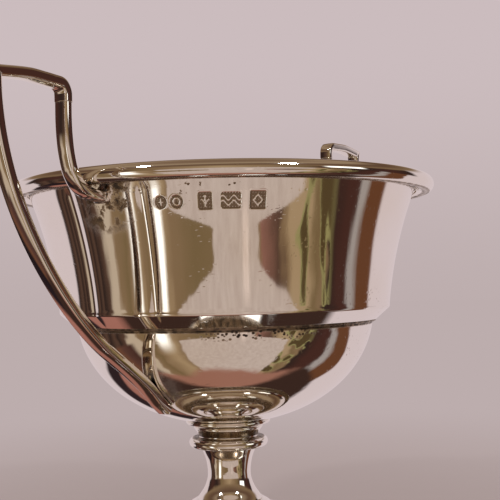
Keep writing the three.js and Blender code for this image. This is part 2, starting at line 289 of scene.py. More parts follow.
def cut(bm, place, facing, soften=0.1):
    """Cuts a strap off square to a direction in the plane y = 0, and eases the new edge."""
    found = bmesh.ops.bisect_plane(
        bm, geom=bm.verts[:] + bm.edges[:] + bm.faces[:], dist=1e-7,
        plane_co=(place[0] * MM, 0.0, place[1] * MM), plane_no=(facing[0], 0.0, facing[1]),
        clear_outer=True,
    )
    rim = [g for g in found["geom_cut"] if isinstance(g, bmesh.types.BMEdge)]
    bmesh.ops.contextual_create(bm, geom=rim)
    bmesh.ops.recalc_face_normals(bm, faces=bm.faces)
    rim = [e for e in rim if e.is_valid]
    bmesh.ops.bevel(
        bm, geom=rim, offset=soften * MM, offset_type="OFFSET", segments=3,
        profile=0.5, affect="EDGES", material=-1, clamp_overlap=True,
    )
    bmesh.ops.remove_doubles(bm, verts=bm.verts, dist=2e-6)


def waver(bm, size, depth, seed):
    """The slight unevenness that hand polishing leaves on thin sheet."""
    for v in bm.verts:
        away = Vector((v.co.x, v.co.y, 0.0))
        if away.length < 1e-4:
            continue
        bump = noise.noise(v.co / (size * MM) + Vector((seed, seed * 1.7, 0.0)))
        v.co += away.normalized() * bump * depth * MM


def turn_half_round(bm):
    """Turns a strap half round, to the other side of the bowl."""
    bmesh.ops.rotate(bm, cent=(0, 0, 0), matrix=Matrix.Rotation(math.pi, 3, "Z"), verts=bm.verts)


# ---------------------------------------------------------------- shader maths
class Wire:
    """A node socket that takes part in Python arithmetic."""

    def __init__(self, maker, socket):
        self.maker = maker
        self.socket = socket

    def _maths(self, operation, *values):
        return self.maker.add("ShaderNodeMath", {"operation": operation}, dict(enumerate(values)))

    def __add__(self, other):
        return self._maths("ADD", self, other)

    def __radd__(self, other):
        return self._maths("ADD", other, self)

    def __sub__(self, other):
        return self._maths("SUBTRACT", self, other)

    def __rsub__(self, other):
        return self._maths("SUBTRACT", other, self)

    def __mul__(self, other):
        return self._maths("MULTIPLY", self, other)

    def __truediv__(self, other):
        return self._maths("DIVIDE", self, other)

    def __pow__(self, other):
        return self._maths("POWER", self, other)

    def __abs__(self):
        return self._maths("ABSOLUTE", self)

    def least(self, other):
        return self._maths("MINIMUM", self, other)

    def most(self, other):
        return self._maths("MAXIMUM", self, other)

    def turn_from(self, other):
        return self._maths("ARCTAN2", self, other)

    def rise(self, low, high):
        """0 below low, 1 above high and smooth between; it falls where low is above high."""
        return self.maker.add(
            "ShaderNodeMapRange", {"interpolation_type": "SMOOTHSTEP"},
            {"Value": self, "From Min": low, "From Max": high, "To Min": 0.0, "To Max": 1.0},
        )


class Bench:
    """Adds and wires the nodes of one node tree."""

    def __init__(self, tree):
        self.tree = tree
        tree.nodes.clear()

    def add(self, kind, settings=None, sockets=None, out=0):
        node = self.tree.nodes.new(kind)
        for key, value in (settings or {}).items():
            if key == "stops":
                self._set_stops(node.color_ramp, value)
            elif key == "ramp":
                node.color_ramp.interpolation = value
            else:
                setattr(node, key, value)
        for key, value in (sockets or {}).items():
            if isinstance(value, Wire):
                self.tree.links.new(value.socket, node.inputs[key])
            else:
                node.inputs[key].default_value = value
        return Wire(self, node.outputs[out]) if node.outputs else node

    @staticmethod
    def _set_stops(ramp, stops):
        while len(ramp.elements) > 1:
            ramp.elements.remove(ramp.elements[0])
        for i, (place, colour) in enumerate(stops):
            stop = ramp.elements[0] if i == 0 else ramp.elements.new(place)
            stop.position = place
            stop.color = (*colour, 1.0)

    def mix(self, share, first, second):
        """Two colours mixed."""
        first = first if isinstance(first, Wire) else (*first, 1.0)
        second = second if isinstance(second, Wire) else (*second, 1.0)
        return self.add(
            "ShaderNodeMix", {"data_type": "RGBA"}, {0: share, 6: first, 7: second}, out=2
        )

    def place(self):
        return self.add("ShaderNodeTexCoord", out=3)

    def split(self, vector):
        return [self.add("ShaderNodeSeparateXYZ", {}, {0: vector}, out=i) for i in range(3)]

    def stretched(self, vector, scale, turn=(0.0, 0.0, 0.0), shift=(0.0, 0.0, 0.0)):
        return self.add(
            "ShaderNodeMapping", {},
            {"Vector": vector, "Scale": scale, "Rotation": turn, "Location": shift},
        )

    def cloud(self, vector, scale, detail=3.0, roughness=0.5):
        return self.add(
            "ShaderNodeTexNoise", {},
            {"Vector": vector, "Scale": scale, "Detail": detail, "Roughness": roughness},
        )


# ---------------------------------------------------------------- silver
BRIGHT = (0.935, 0.905, 0.860)
WARM = (0.880, 0.815, 0.700)
DULL = (0.300, 0.225, 0.150)
BLACKENED = (0.035, 0.026, 0.020)


def crevice(height, middle, reach):
    """1 at a height, fading to 0 a reach away."""
    return abs(height - middle * MM).rise(reach * MM, 0.0)


def around(bench, place, centre, reach):
    """1 at a point, fading to 0 a reach away."""
    return bench.add(
        "ShaderNodeVectorMath", {"operation": "DISTANCE"},
        {0: place, 1: tuple(c * MM for c in centre)}, out=1,
    ).rise(reach * MM, reach * MM * 0.4)


def silver(
    name, crevices=(), specks=(), pits=(), stains=(), polish=0.035, scratch=1.0, struck=False,
):
    """Polished silver with worn-in scratches, warm tarnish, and blackening left in its crevices.

    Crevices are (height, reach, strength), specks (height, reach, centre, spread, amount), pits
    (centre, reach, depth) and stains (centre, reach, amount), with the lengths in millimetres.
    """
    material = bpy.data.materials.new(name)
    material.use_nodes = True
    bench = Bench(material.node_tree)
    place = bench.place()
    height = bench.split(place)[2]

    # Fine hairlines in three directions, each broken up by a slow cloud.
    lines = 0.0
    for turn, seed in (((0.3, 0.2, 0.9), 1.0), ((1.1, 0.5, 0.2), 4.0), ((0.2, 1.2, 2.1), 8.0)):
        drawn = bench.stretched(place, (1500.0, 60.0, 1500.0), turn, (seed, seed, seed))
        hair = bench.cloud(drawn, 1.0, 1.0).rise(0.67, 0.76)
        broken = bench.cloud(bench.stretched(place, (1, 1, 1), (0, 0, 0), (seed, 0, 0)), 140.0, 1.0)
        lines = hair * broken.rise(0.48, 0.66) + lines
    brushed = bench.cloud(bench.stretched(place, (2600.0, 2600.0, 90.0)), 1.0, 2.0)
    smudge = bench.cloud(place, 65.0, 4.0, 0.6)
    film = bench.cloud(place, 28.0, 3.0, 0.55).rise(0.42, 0.72)

    # Blackening lies in the crevices as a soft line with a slightly ragged edge.
    black = 0.0
    for middle, reach, strength in crevices:
        ragged = bench.cloud(place, 700.0, 3.0, 0.6).rise(0.25, 0.65) * 0.6 + 0.4
        black = crevice(height, middle, reach) * ragged * strength + black
    for middle, reach, centre, spread, amount in specks:
        # Loose dark specks of old polish, thickest along one line.
        dots = bench.add(
            "ShaderNodeTexVoronoi", {"feature": "F1"},
            {"Vector": bench.stretched(place, (1.0, 1.0, 1.3)), "Scale": 1250.0, "Randomness": 1.0},
        )
        gate = bench.cloud(place, 260.0, 3.0, 0.6).rise(0.60 - amount, 0.66 - amount)
        patch = around(bench, place, centre, spread)
        black = dots.rise(0.50, 0.30) * gate * crevice(height, middle, reach) * patch + black
    for centre, reach, amount in stains:
        # Heat tarnish that was never buffed out, round a soldered joint.
        patchy = bench.cloud(place, 330.0, 4.0, 0.65).rise(0.40, 0.62)
        black = patchy * around(bench, place, centre, reach) * amount + black
    if struck:
        black = bench.add("ShaderNodeAttribute", {"attribute_name": "struck"}, out=2) + black

    tint = bench.mix(film * 0.5, BRIGHT, WARM)
    rough = polish + smudge.rise(0.35, 0.75) * 0.03 + lines * 0.05 * scratch
    metal = 1.0
    if isinstance(black, Wire):
        black = black.least(1.0)
        tint = bench.mix(black.rise(0.10, 0.45), tint, DULL)
        tint = bench.mix(black.rise(0.45, 0.95), tint, BLACKENED)
        rough = rough + black * 0.40
        metal = 1.0 - black * 0.5

    relief = brushed * 0.35 - lines * 1.0 * scratch + smudge * 0.5
    for centre, reach, depth in pits:
        # A patch of small pits, where the surface has been etched.
        holes = bench.add(
            "ShaderNodeTexVoronoi", {"feature": "F1"},
            {"Vector": place, "Scale": 1300.0, "Randomness": 1.0},
        ).rise(0.36, 0.14)
        etched = holes * bench.cloud(place, 420.0, 2.0).rise(0.44, 0.58) * around(
            bench, place, centre, reach)
        relief = relief - etched * depth
        rough = rough + etched * 0.25
    bumped = bench.add(
        "ShaderNodeBump", {}, {"Strength": 0.35, "Distance": 0.000012, "Height": relief}
    )
    shader = bench.add(
        "ShaderNodeBsdfPrincipled", {},
        {"Base Color": tint, "Roughness": rough, "Metallic": metal, "Normal": bumped},
    )
    bench.add("ShaderNodeOutputMaterial", {}, {"Surface": shader})
    return material


# ---------------------------------------------------------------- punch marks
MARK_Z = 75.5
MARK_REACH = 2.6
MARKED_FROM, MARKED_TO = 193.8, 226.0


def box_edge(u, v, half_u, half_v, corner):
    """Signed distance to a rectangle with rounded corners."""
    du, dv = abs(u) - half_u + corner, abs(v) - half_v + corner
    outside = math.hypot(max(du, 0.0), max(dv, 0.0))
    return outside + min(max(du, dv), 0.0) - corner


def stroke(u, v, start, end, half):
    """Signed distance to a rounded bar."""
    line = Vector(end) - Vector(start)
    t = max(0.0, min(1.0, (Vector((u, v)) - Vector(start)).dot(line) / line.length_squared))
    return (Vector((u, v)) - Vector(start) - line * t).length - half


def sprig(u, v):
    return min(
        stroke(u, v, (0.0, -1.0), (0.0, 0.7), 0.16),
        stroke(u, v, (0.0, -0.5), (0.62, 0.25), 0.15),
        stroke(u, v, (0.0, -0.5), (-0.62, 0.25), 0.15),
        math.hypot(u, v - 0.85) - 0.26,
    )


def waves(u, v):
    crest = 0.42 * math.sin(u * 3.1)
    return min(abs(v - 0.45 - crest), abs(v + 0.45 - crest)) - 0.19


def ring(u, v):
    return abs(math.hypot(u, v) - 0.62) - 0.17


def cross(u, v):
    return min(box_edge(u, v, 0.17, 0.68, 0.05), box_edge(u, v, 0.5, 0.16, 0.05))


def lozenge(u, v):
    return abs(abs(u) * 1.1 + abs(v) - 0.95) * 0.7 - 0.18


MARKS = (
    (197.1, lambda u, v: math.hypot(u, v) - 1.22, cross),
    (201.4, lambda u, v: math.hypot(u, v) - 1.28, ring),
    (208.9, lambda u, v: box_edge(u, v, 1.35, 1.65, 0.45), sprig),
    (215.6, lambda u, v: box_edge(u, v, 1.9, 1.55, 0.55), waves),
    (222.6, lambda u, v: box_edge(u, v, 1.55, 1.7, 0.3), lozenge),
)


def ramp(value, low, high):
    t = max(0.0, min(1.0, (value - low) / (high - low)))
    return t * t * (3 - 2 * t)


def strike(bm):
    """Stamps the marks into the outside of the wall, below the rim."""
    def near(face):
        c = face.calc_center_median()
        azimuth = math.degrees(math.atan2(c.y, c.x)) % 360
        outside = math.hypot(c.x, c.y) / MM > wall_radius(c.z / MM) - 0.4
        level = abs(c.z / MM - MARK_Z) < MARK_REACH
        return MARKED_FROM < azimuth < MARKED_TO and level and outside

    layer = bm.verts.layers.float.new("struck")
    faces = [f for f in bm.faces if near(f)]
    edges = list({e for f in faces for e in f.edges})
    made = bmesh.ops.subdivide_edges(bm, edges=edges, cuts=4, use_grid_fill=True)
    for v in {g for g in made["geom"] if isinstance(g, bmesh.types.BMVert)}:
        z = v.co.z / MM
        azimuth = math.atan2(v.co.y, v.co.x)
        radius = wall_radius(z)
        depth = crease_inset(azimuth, z)
        for place, outline, motif in MARKS:
            u = (math.degrees(azimuth) % 360 - place) * math.pi / 180 * radius
            if abs(u) > MARK_REACH:
                continue
            edge = outline(u, z - MARK_Z)
            inside = ramp(-edge, 0.0, 0.16)
            raised = ramp(-motif(u, z - MARK_Z), -0.06, 0.10)
            depth += 0.17 * inside - 0.13 * raised * inside
            depth -= 0.02 * ramp(-abs(edge - 0.12), -0.12, 0.0)
            v[layer] = max(v[layer], inside * (0.60 - 0.60 * raised))
        scale = (radius - depth) * MM / math.hypot(v.co.x, v.co.y)
        v.co.x *= scale
        v.co.y *= scale


def crease_inset(azimuth, z):
    """How far the four creases beside the handles press the wall inward."""
    top = max(0.0, min(1.0, (WALL_HIGH.z - z) / CREASE_FADE_H))
    foot = max(0.0, min(1.0, (z - WALL_LOW.z) / UNDERTURN_H))
    inset = 0.0
    for handle in (0.0, math.pi):
        for side in (-1, 1):
            away = 2 * abs(math.sin((azimuth - handle - side * CREASE_ANGLE) / 2))
            inset += CREASE_DEPTH * math.exp(-away / CREASE_SPREAD)
    return inset * top * foot


# ---------------------------------------------------------------- bowl
def make_wall(finish):
    rows = 42
    span = WALL_HIGH.z - WAIST_Z
    outside = underturn(0.0)
    inside = underturn(WALL_T)
    wall = [(wall_radius(WAIST_Z + span * i / rows), WAIST_Z + span * i / rows)
            for i in range(1, rows + 1)]
    lining = [(r - WALL_T, z) for r, z in wall[1::2]][::-1]
    bm = spun([*outside, *wall, *lining, *inside[::-1]], SEGMENTS, closed=True)
    for v in bm.verts:
        radius = math.hypot(v.co.x, v.co.y)
        inset = crease_inset(math.atan2(v.co.y, v.co.x), v.co.z / MM) * MM
        v.co.x *= (radius - inset) / radius
        v.co.y *= (radius - inset) / radius
    strike(bm)
    waver(bm, 7.0, 0.016, 3.1)
    bm.normal_update()
    return finished(bm, "bowl_wall", ["upper_body"], finish)


def make_cup(finish):
    steps = 64
    top = CUP_HIGH.z - CUP_LOW.z
    outside, inside = [], []
    for i in range(steps + 1):
        rise = 1 - math.cos(math.pi / 2 * i / steps)
        outside.append((cup_radius(top * rise), CUP_LOW.z + top * rise))
        lined = WALL_T + (top - WALL_T) * rise
        inside.append((cup_radius(lined, WALL_T), CUP_LOW.z + lined))
    outside[0] = (0.0, CUP_LOW.z)
    inside[0] = (0.0, CUP_LOW.z + WALL_T)
    bm = spun([*outside, *inside[::-1]], SEGMENTS)
    waver(bm, 8.0, 0.016, 7.7)
    return finished(bm, "bowl_cup", ["lower_bowl"], finish)


def make_seam_solder(finish):
    centre = (HOLE_R - 0.12, WALL_LOW.z + 0.12)
    bm = spun(arc(centre, 0.30, 0, 345, 11), SEGMENTS // 2, closed=True)
    return finished(bm, "seam_solder", [], finish)


def make_rim(finish):
    seat = RIM_CENTRE[0] - RIM_WIRE_R
    wire = arc(RIM_CENTRE, RIM_WIRE_R, -180, 100, 40)
    top = wire[-1]
    over = [
        (top[0] - 1.2, top[1] - 0.25), (WALL_TOP_R - 0.4, WALL_HIGH.z + 0.95),
        (WALL_TOP_R - WALL_T - 0.05, WALL_HIGH.z + 0.55),
        (WALL_TOP_R - WALL_T - 0.08, WALL_HIGH.z + 0.2),
        (WALL_TOP_R - WALL_T + 0.1, WALL_HIGH.z + 0.02), (seat, WALL_HIGH.z + 0.02),
    ]
    bm = spun([*wire, *flowing(over, 4)], SEGMENTS, closed=True)
    return finished(bm, "rim_moulding", ["rim_wire"], finish)


# ---------------------------------------------------------------- stem and foot
def make_collar(finish):
    flat = COLLAR_HIGH.x - COLLAR_T / 2

    def top(r):
        return CUP_LOW.z + cup_height(r) - 0.02

    rows = [flat * i / 8 for i in range(9)]
    under = [(r, top(r) - COLLAR_T - 0.25) for r in rows]
    edge = arc((flat, top(flat) - COLLAR_T / 2 - 0.12), COLLAR_T / 2 + 0.12, -80, 80, 8)
    over = [(r, top(r)) for r in rows[::-1][1:]]
    bm = spun([*under, *edge, *over], STEM_SEGMENTS)
    return finished(bm, "collar_plate", ["stem_collar"], finish)


def make_stem(finish):
    base, top = STEM_LOW.z, STEM_HIGH.z
    shoulder = STEM_SHOULDER_Z
    ring_top = shoulder - STEM_RING_DROP
    ring_base = ring_top - STEM_RING_H
    waist = base + (ring_base - base) * STEM_WAIST_SHARE
    shaft = flowing([
        (7.4, base - 0.25), (7.0, base + 0.5), (5.6, (base + waist) / 2),
        (4.8, waist), (5.15, waist + 3.6), (6.2, ring_base),
    ], 8)
    bead_r, half = 7.55, STEM_RING_H / 2
    bead = [(bead_r + (r - bead_r) * 1.13, z)
            for r, z in arc((bead_r, ring_top - half), half, -78, 78, 14)]
    neck = flowing([
        (6.75, ring_top), (6.7, ring_top + 0.45), (6.95, ring_top + 1.1), (7.7, shoulder + 0.25),
    ], 5)
    bm = spun([
        (0.0, base), (7.3, base - 0.27), *shaft, *bead, *neck, (7.6, top), (0.0, shoulder + 0.2),
    ], STEM_SEGMENTS)
    return finished(bm, "stem_turned", ["stem"], finish)


def foot_outline(inset):
    """Side of the foot from the flange up to its flat top."""
    top = FOOT_HIGH.z - inset
    shoulder = FOOT_HIGH.z - 2.6 - inset
    step = shoulder - 0.9
    base = FOOT_LOW.z + 1.8 - inset
    draw = inset * 0.7
    dome = [(13.8 - draw + 10.8 * math.cos(a), base + (step - base) * math.sin(a))
            for a in (math.pi / 2 * i / 22 for i in range(23))]
    cone = flowing([
        (13.2 - draw, shoulder), (11.9 - draw, shoulder + 0.28), (10.3 - draw, shoulder + 0.95),
        (8.9 - draw, top - 0.45), (8.2 - draw, top),
    ], 5)
    riser = eased([
        (13.62 - draw, step + 0.02, 0.0), (13.2 - draw, step + 0.1, 0.2),
        (13.2 - draw, shoulder - 0.1, 0.2), (13.0 - draw, shoulder + 0.05, 0.0),
    ], 3)
    return [*dome, *riser, *cone]


def make_foot(finish):
    flange = FOOT_HIGH.x
    level = FOOT_LOW.z + 0.9
    inside = foot_outline(1.0)[::-1]
    bm = spun([
        (0.0, FOOT_HIGH.z - 1.0), *inside, *eased([
            (inside[-1][0], FOOT_LOW.z + 0.7, 0.0), (inside[-1][0], FOOT_LOW.z - 0.15, 0.1),
            (flange, FOOT_LOW.z - 0.15, 0.3), (flange, level, 0.4), (25.3, level, 0.35),
            (24.6, FOOT_LOW.z + 1.7, 0.0),
        ]), *foot_outline(0.0), (0.0, FOOT_HIGH.z),
    ], SEGMENTS // 2)
    return finished(bm, "foot_dome", ["foot"], finish)


def make_foot_wire(finish):
    outer, inner = WIRE_HIGH.x, WIRE_HIGH.x - 2.8
    high = WIRE_HIGH.z + 0.12
    bm = spun(eased([
        (inner + 1.0, 0.0, 0.0), (outer, 0.0, 0.55), (outer, high, 0.55), (inner, high, 0.3),
        (inner, 0.0, 0.3), (inner + 1.0, 0.0, 0.0),
    ])[:-1], SEGMENTS // 2, closed=True)
    return finished(bm, "foot_base_wire", ["foot_wire"], finish)


def make_joint_ring(name, radius, z, size, finish):
    bm = spun(arc((radius, z), size, 0, 340, 11), STEM_SEGMENTS, closed=True)
    return finished(bm, name, [], finish)


# ---------------------------------------------------------------- handles
def bar_path():
    """From the riser's joint round the inner corner and out to the mitre."""
    bend_x = RISER_X + BAR_BEND_R
    bend = arc((bend_x, BAR_HIGH.z - 1.15 - BAR_BEND_R), BAR_BEND_R, 180, 90, 12)
    reach = (bend_x + CORNER[0]) / 2
    over = flowing([
        bend[-1], ((bend[-1][0] + reach) / 2, CORNER[1] + 0.75),
        (reach, CORNER[1] + 0.8), CORNER,
    ], 8)
    end = Vector(over[-1])
    further = end + (end - Vector(over[-2])).normalized() * MITRE_SPARE
    return [(RISER_X, BAR_JOINT_Z), *bend, *over[1:], tuple(further)]


def strap_path():
    """From the mitre down the long outer sweep, round the elbow and along the cup."""
    landing = []
    for i in range(LANDING_STEPS + 1):
        drop = LANDING_START + LANDING_LENGTH * i / LANDING_STEPS
        height = CUP_HIGH.z - CUP_SLEEVE_H - CUP_LOW.z - drop
        slope = Vector((cup_radius(height - 0.2) - cup_radius(height + 0.2), -0.4)).normalized()
        outward = Vector((-slope.y, slope.x))
        spot = Vector((cup_radius(height), CUP_LOW.z + height))
        landing.append((spot + outward * (LIFT + STRAP_T / 2), slope))
    first, first_slope = landing[0]
    elbow = first + ELBOW
    lean = Vector((math.cos(ELBOW_ANGLE), math.sin(ELBOW_ANGLE)))
    corner = Vector(CORNER)
    sweep = geometry.interpolate_bezier(
        corner, Vector((corner.x + 0.3, corner.y - STRAP_DROP)), elbow + lean * 10, elbow, 61)
    bend = geometry.interpolate_bezier(
        elbow, elbow - lean * 5, first - first_slope * 4, first, 25)
    start = corner + (Vector(sweep[0]) - Vector(sweep[1])).xy.normalized() * MITRE_SPARE
    return [
        tuple(start), *[(p[0], p[1]) for p in sweep], *[(p[0], p[1]) for p in bend[1:]],
        *[tuple(p) for p, _ in landing[1:]],
    ]


def riser_path():
    """From the top bar down past the rim in one sweep, and in to the wall under it."""
    rim_r, rim_z = RIM_CENTRE
    return flowing([
        (RISER_X, BAR_JOINT_Z), (RISER_X, BAR_JOINT_Z - 3.4),
        (RISER_X - 0.2, rim_z + 6.4), (RISER_X - 0.7, rim_z + 3.1),
        (rim_r + 4.65, rim_z + 0.1), (rim_r + 2.75, rim_z - 2.2), (rim_r + 0.05, rim_z - 3.3),
        (wall_radius(rim_z - 3.8) - 0.3, rim_z - 3.8),
    ], 7)


def mitre_facing():
    """The direction that the mitre at the outer corner is cut square to."""
    bar, strap = bar_path(), strap_path()
    along_bar = (Vector(bar[-1]) - Vector(bar[-2])).normalized()
    along_strap = (Vector(strap[1]) - Vector(strap[0])).normalized()
    return (along_bar + along_strap).normalized()


def make_handles(finish, solder):
    facing = mitre_facing()
    for side, turn in (("right", False), ("left", True)):
        bar = swept(bar_path(), STRAP_W, STRAP_T, STRAP_EDGE, STRAP_CROWN)
        cut(bar, CORNER, facing)
        strap = swept(strap_path(), STRAP_W, STRAP_T, STRAP_EDGE, STRAP_CROWN)
        cut(strap, CORNER, -facing)
        riser = swept(riser_path(), STRAP_W, STRAP_T, RISER_EDGE, RISER_CROWN)
        # Solder under the strap's landing on the cup, and round the riser's end in the wall.
        pad = swept(strap_path()[-LANDING_STEPS - 1:-1], STRAP_W - 0.4, STRAP_T * 0.55, 0.5)
        bmesh.ops.translate(pad, verts=pad.verts, vec=PAD_SHIFT)
        end = riser_path()[-1]
        fillet = swept([(end[0] + 0.1, end[1]), (end[0] + 0.62, end[1] + 0.05)],
                       STRAP_W + 0.5, STRAP_T + 0.5, 0.9)
        for bm, name, node in (
            (riser, "riser_strap", "riser"),
            (bar, "top_bar", "bar"),
            (strap, "outer_strap", "strap"),
        ):
            if turn:
                turn_half_round(bm)
            finished(bm, f"{side}_{name}", [f"{side}_{node}"], finish)
        for bm, name in ((pad, "strap_solder"), (fillet, "riser_solder")):
            if turn:
                turn_half_round(bm)
            finished(bm, f"{side}_{name}", [], solder)


# ---------------------------------------------------------------- studio
def to_linear(*rgb):
    return tuple(
        (c / 255 / 12.92) if c <= 10.31 else ((c / 255 + 0.055) / 1.055) ** 2.4 for c in rgb
    )


FRONT = math.radians(213.5)
PALE = to_linear(203, 188, 190)
PALE_LOW = to_linear(188, 173, 173)
GAIN = 1.10


def angle_stops(panels):
    """Colour stops round the horizon, from angles in degrees off the front."""
    return [((angle + 180) / 360, tuple(c * GAIN for c in colour)) for angle, colour in panels]


KHAKI = to_linear(126, 102, 76)
SAND = to_linear(157, 133, 103)
OLIVE = to_linear(112, 92, 64)
CREAM = to_linear(178, 160, 140)
BROWN = to_linear(82, 60, 49)
BLACK = to_linear(46, 34, 30)
TAN = to_linear(132, 92, 80)
SMOKE = to_linear(152, 143, 140)
UMBER = to_linear(66, 40, 34)
RUST = to_linear(96, 60, 40)
WHITE = (1.0, 0.97, 0.92)

# Screens round the bowl as (degrees off the front, tone), with the right side positive: those below
# the horizon, those above it, and those low on the left.
LOWER_SCREENS = (
    (-114, PALE), (-112, BLACK), (-104, BROWN), (-100, BLACK), (-93, BROWN), (-90, BLACK),
    (-84, BROWN), (-81, CREAM), (-73, CREAM), (-71, KHAKI), (-62, OLIVE), (-59, KHAKI), (-45, SAND),
    (-37, KHAKI), (-20, OLIVE), (22, KHAKI), (24, TAN), (37, BROWN), (40, KHAKI), (44, SAND),
    (56, SAND), (60, OLIVE), (66, KHAKI), (69, BLACK), (80, UMBER), (87, UMBER), (90, SMOKE),
    (93, SMOKE), (97, RUST), (111, RUST), (113, PALE),
)
UPPER_SCREENS = (
    (-180, PALE), (-124, PALE), (-118, BLACK), (-96, UMBER), (-70, BLACK), (-52, BROWN),
    (-45, OLIVE), (-30, KHAKI), (0, SAND), (26, KHAKI), (40, OLIVE), (52, BROWN), (72, BLACK),
    (100, UMBER), (118, BLACK), (124, PALE), (180, PALE),
)
LEFT_SCREENS = (
    (-180, to_linear(134, 86, 76)), (-150, to_linear(150, 100, 88)),
    (-131, to_linear(158, 106, 94)), (-127, to_linear(112, 76, 66)),
    (-122, to_linear(38, 27, 31)), (-107, to_linear(32, 24, 26)),
    (-101, to_linear(104, 68, 50)), (-93, to_linear(84, 56, 48)),
    (-84, to_linear(68, 44, 38)),
)
CEILING = (
    (0.70, to_linear(128, 104, 78)), (0.82, to_linear(96, 72, 56)),
    (0.90, to_linear(150, 128, 104)), (1.0, to_linear(120, 96, 76)),
)
# Small lamps under the horizon as (ahead, aside, size), which glint in the under-turn.
LOW_LAMPS = ((-0.165, -0.10, 0.05), (-0.185, 0.13, 0.07), (-0.20, 0.25, 0.03))


def screens(bench, direction, turn, z, ripple):
    """The tones that the silver mirrors, by the angle off the front and the height."""
    sway = ripple * (abs(turn).rise(108.0, 80.0) * 12.0 + 5.0)
    bent = (turn + sway) / 360 + 0.5
    # Lower down the screens stand further round to the sides.
    drawn = 1.0 - z.rise(-0.2, -0.6) * abs(turn).rise(60.0, 115.0) * 0.12
    bent_low = (turn * drawn + sway) / 360 + 0.5
    lower, upper, left = (
        bench.add("ShaderNodeValToRGB", {"ramp": "LINEAR", "stops": angle_stops(tones)}, {0: place})
        for tones, place in (
            (LOWER_SCREENS, bent_low), (UPPER_SCREENS, bent), (LEFT_SCREENS, bent),
        )
    )
    ceiling = bench.add(
        "ShaderNodeValToRGB", {"ramp": "EASE", "stops": CEILING}, {0: z * 0.5 + 0.5})

    # Leaf shapes printed on the khaki screen, each with a pale green edge.
    leaf = bench.cloud(bench.stretched(direction, (6.0, 6.0, 2.6), (0.0, 0.0, 0.4)), 1.0, 1.5, 0.4)
    printed = (turn + ripple * 14.0).rise(43.0, 49.0) * turn.rise(76.0, 70.0)
    lower = bench.mix(leaf.rise(0.50, 0.515) * printed, lower, to_linear(146, 138, 92))
    lower = bench.mix(leaf.rise(0.53, 0.545) * printed, lower, to_linear(82, 66, 42))

    # A light grey cloth straight ahead, drawn in at the middle.
    spread = z.rise(-0.38, -0.20) * 26.0 + z.rise(-0.455, -0.49) * 30.0 + 14.0
    cloth = (abs(turn + ripple * 14.0 - 7.0) - spread).rise(1.2, -1.2)
    folds = bench.cloud(bench.stretched(direction, (30.0, 30.0, 3.0)), 1.0, 3.0)
    grey = bench.mix(folds, to_linear(170, 150, 140), to_linear(205, 188, 178))
    seen = bench.mix(cloth * z.rise(0.10, 0.0), lower, grey)
    seen = bench.mix(z.rise(-0.06, 0.05), seen, upper)
    seen = bench.mix((z + ripple * 0.1).rise(0.30, 0.46), seen, ceiling)

    # Low on the left, and then the table under everything, pinkish in front and dark at the sides.
    deep = (z + ripple * 0.1).rise(-0.60, -0.56) * turn.rise(-118.0, -128.0)
    left = bench.mix(deep, left, to_linear(46, 34, 36))
    seen = bench.mix(turn.rise(-78.0, -86.0) * (z + ripple * 0.05).rise(-0.41, -0.46), seen, left)
    table = bench.mix(
        abs(turn + ripple * 20.0).rise(98.0, 78.0), to_linear(58, 40, 34), to_linear(152, 106, 90))
    table_line = abs(turn).rise(60.0, 105.0) * 0.17 - 0.88
    return bench.mix((z - table_line + ripple * 0.08).rise(0.0, -0.06), seen, table)


def lamps(ahead, aside, turn, z, ripple):
    """The bright places among the screens: how far each is white, and how much it adds."""
    # A tall bright window low on the left, and a thin one on the right.
    window = (abs(turn + ripple * 4.0 + 51.0) - 4.0).rise(5.0, -2.5)
    window = window * (z + 0.45).rise(-0.25, 0.02) * z.rise(0.0, -0.12)
    slit = (abs(turn - 14.0) - 1.6).rise(1.2, -0.8) * z.rise(-0.60, -0.45) * z.rise(-0.2, -0.3)
    low_ahead, low_aside = ahead + ripple * 0.05, aside + ripple * 0.05
    glints = 0.0
    for at_ahead, at_aside, size in LOW_LAMPS:
        off = ((low_ahead - at_ahead) ** 2.0 * 1.6 + (low_aside - at_aside) ** 2.0) ** 0.5
        glints = off.rise(size, size * 0.6) * z.rise(0.0, -0.8) + glints
    right_lamp = (abs(turn - 67.0) - 12.0).rise(3.0, -3.0)
    right_lamp = right_lamp * (abs(z - 0.27) - 0.11).rise(0.03, -0.03)
    white = (window + glints + right_lamp).least(1.0)
    bright = (window * 0.5 + slit * 0.35 + glints * 0.9 + right_lamp * 0.9).least(3.0)
    return white, bright


def make_studio():
    """A pale studio with khaki, brown and grey screens that only the silver sees."""
    world = bpy.data.worlds.new("studio")
    bpy.context.scene.world = world
    world.use_nodes = True
    bench = Bench(world.node_tree)
    direction = bench.add("ShaderNodeTexCoord", out=0)
    x, y, z = bench.split(direction)
    ripple = bench.cloud(direction, 5.0, 2.0) - 0.5
    ahead = x * math.cos(FRONT) + y * math.sin(FRONT)
    aside = y * math.cos(FRONT) - x * math.sin(FRONT)
    turn = aside.turn_from(ahead) * (180 / math.pi)

    white, bright = lamps(ahead, aside, turn, z, ripple)
    seen = bench.mix(white, screens(bench, direction, turn, z, ripple), WHITE)
    plain = bench.add("ShaderNodeValToRGB", {"ramp": "EASE", "stops": [
        (0.47, PALE_LOW), (0.62, PALE),
    ]}, {0: z * 0.5 + 0.5})
    shown = bench.mix(bench.add("ShaderNodeLightPath"), seen, plain)
    unlit = 1.0 - bench.add("ShaderNodeLightPath")
    strength = bright * unlit + 1.0
    light = bench.add("ShaderNodeBackground", {}, {"Color": shown, "Strength": strength})
    bench.add("ShaderNodeOutputWorld", {}, {"Surface": light})


